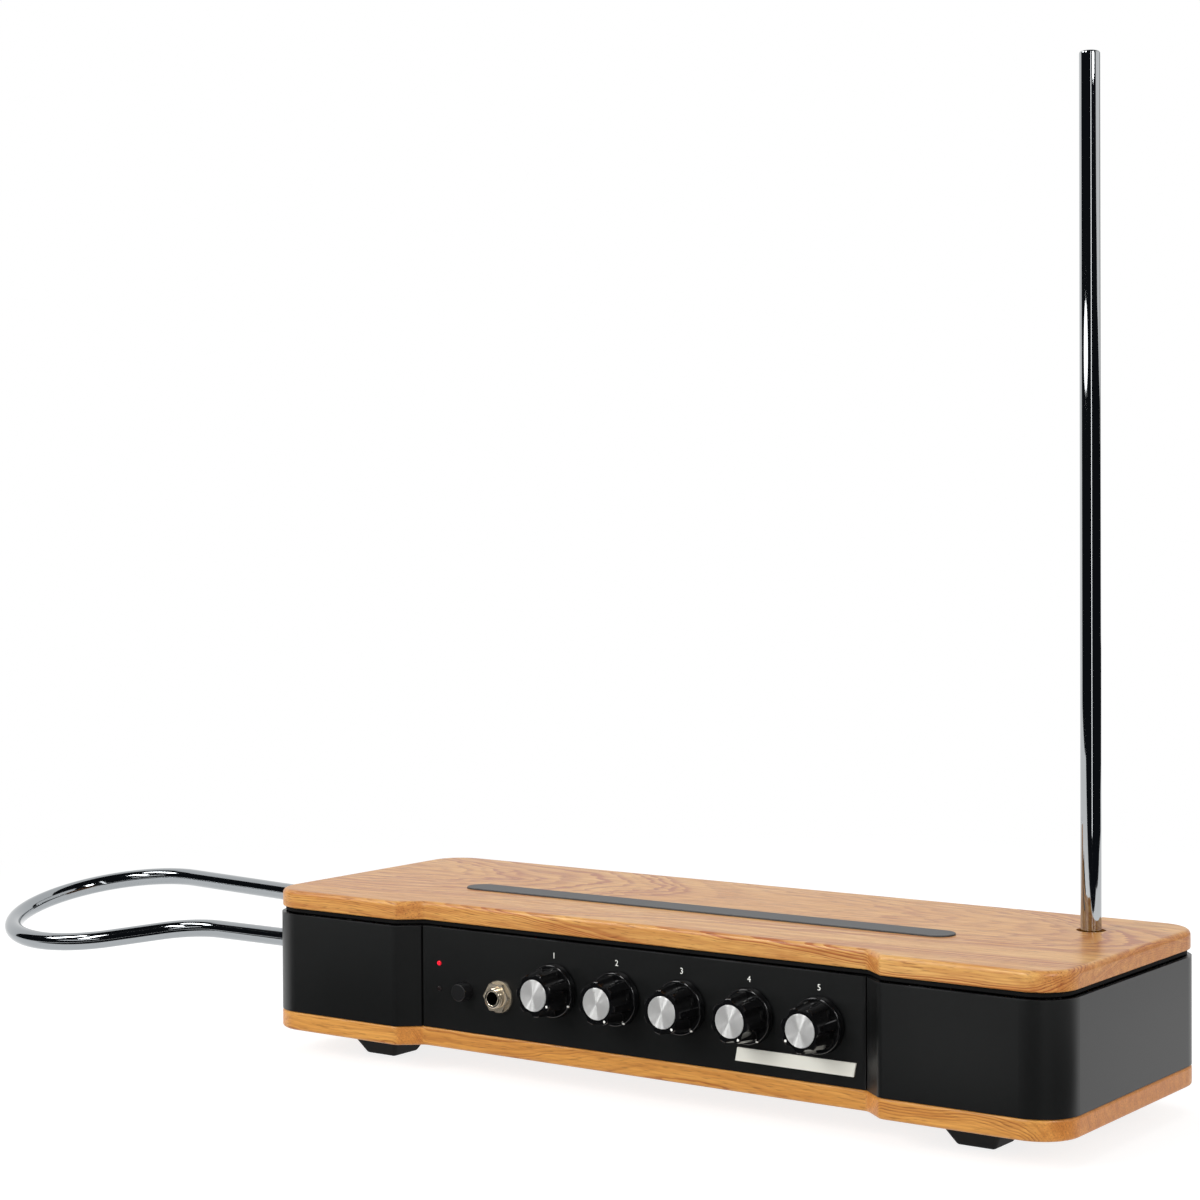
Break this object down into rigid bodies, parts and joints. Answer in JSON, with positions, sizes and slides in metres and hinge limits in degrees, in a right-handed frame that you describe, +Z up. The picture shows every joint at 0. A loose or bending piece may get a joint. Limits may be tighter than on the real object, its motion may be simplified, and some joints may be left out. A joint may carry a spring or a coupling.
{
  "type": "theremin",
  "caption": "Desktop theremin: a flat wooden case with black sides, a recessed panel of knobs, an upright rod antenna and a bent tube loop at its side.",
  "frame": {"origin": "centre of the stand thread's mouth, on the underside of the base board", "axes": "+Z up, along the upright rod; +X from the loop's side to the rod's side; the control panel faces -Y"},
  "size_m": [0.6775, 0.1662, 0.4837],
  "materials": {
    "oak": "satin",
    "strip": "satin",
    "black_case": "satin",
    "frame": "matte",
    "post": "satin",
    "screw": "satin",
    "foot": "matte",
    "flange": "satin",
    "board": "satin",
    "pot": "satin",
    "nickel": "polished",
    "knob": "gloss",
    "cap": "spun",
    "switch": "matte",
    "button": "satin",
    "lamp_lit": "gloss",
    "lamp_dark": "gloss",
    "plate": "brushed",
    "chrome": "polished",
    "brass": "satin",
    "bracket": "matte",
    "coil": "satin",
    "wire": "gloss"
  },
  "bodies": {
    "case": {"bottom_board": "oak", "top_board": "oak", "top_strip": "strip", "upper_frame": "frame", "left_side_cover": "black_case", "right_side_cover": "black_case", "front_panel": "black_case", "rear_panel": "black_case", "case_posts": "post", "case_screws": "screw", "feet": "foot", "foot_screws": "screw", "stand_flange": "flange", "flange_screws": "screw", "potentiometers": "pot", "pot_nuts": "screw", "panel_board": "board", "mute_switch": "switch", "power_lamp": "lamp_lit", "mute_lamp": "lamp_dark", "nameplate": "plate", "phones_jack": "nickel", "phones_jack_nut": "nickel", "audio_jack": "nickel", "audio_jack_nut": "nickel", "cv_jacks": "nickel", "cv_jack_nuts": "nickel", "power_inlet": "switch", "power_switch": "switch", "pitch_socket": "brass", "loop_sockets": "brass", "loop_bracket": "bracket", "main_board": "board", "board_standoffs": "bracket", "pitch_coils": "coil", "volume_coils": "coil", "pitch_lead": "wire", "volume_lead": "wire"},
    "mute_button": {"mute_button": "button"},
    "power_rocker": {"power_rocker": "button"},
    "pitch_antenna": {"pitch_antenna": "chrome"},
    "volume_loop": {"volume_loop": "chrome"},
    "phones_control": {"knob_phones": "knob", "knob_cap_phones": "cap", "pot_shaft_phones": "post"},
    "volume_control": {"knob_volume": "knob", "knob_cap_volume": "cap", "pot_shaft_volume": "post"},
    "pitch_control": {"knob_pitch": "knob", "knob_cap_pitch": "cap", "pot_shaft_pitch": "post"},
    "wave_control": {"knob_wave": "knob", "knob_cap_wave": "cap", "pot_shaft_wave": "post"},
    "tone_control": {"knob_tone": "knob", "knob_cap_tone": "cap", "pot_shaft_tone": "post"}
  },
  "joints": [
    {"name": "phones_turn", "type": "hinge", "parent": "case", "child": "phones_control", "pos_m": [-0.0446, -0.067, 0.0357], "axis": [0, 1, 0], "range_deg": [-270, 30]},
    {"name": "volume_turn", "type": "hinge", "parent": "case", "child": "volume_control", "pos_m": [-0.008, -0.067, 0.0357], "axis": [0, 1, 0], "range_deg": [-300, 0]},
    {"name": "pitch_turn", "type": "hinge", "parent": "case", "child": "pitch_control", "pos_m": [0.0286, -0.067, 0.0357], "axis": [0, 1, 0], "range_deg": [-293, 7]},
    {"name": "wave_turn", "type": "hinge", "parent": "case", "child": "wave_control", "pos_m": [0.0652, -0.067, 0.0357], "axis": [0, 1, 0], "range_deg": [-300, 0]},
    {"name": "tone_turn", "type": "hinge", "parent": "case", "child": "tone_control", "pos_m": [0.1018, -0.067, 0.0357], "axis": [0, 1, 0], "range_deg": [-25, 275]},
    {"name": "mute_press", "type": "slide", "parent": "case", "child": "mute_button", "axis": [0, 1, 0], "range_m": [0, 0.0015], "stiffness_N_per_m": 400, "springref_m": -0.0015},
    {"name": "power_rock", "type": "hinge", "parent": "case", "child": "power_rocker", "pos_m": [-0.068, 0.0729, 0.0336], "axis": [1, 0, 0], "range_deg": [-18, 0]},
    {"name": "pitch_antenna_lift", "type": "slide", "parent": "case", "child": "pitch_antenna", "axis": [0, 0, 1], "range_m": [0, 0.04]},
    {"name": "volume_loop_pull", "type": "slide", "parent": "case", "child": "volume_loop", "axis": [-1, 0, 0], "range_m": [0, 0.04]}
  ]
}
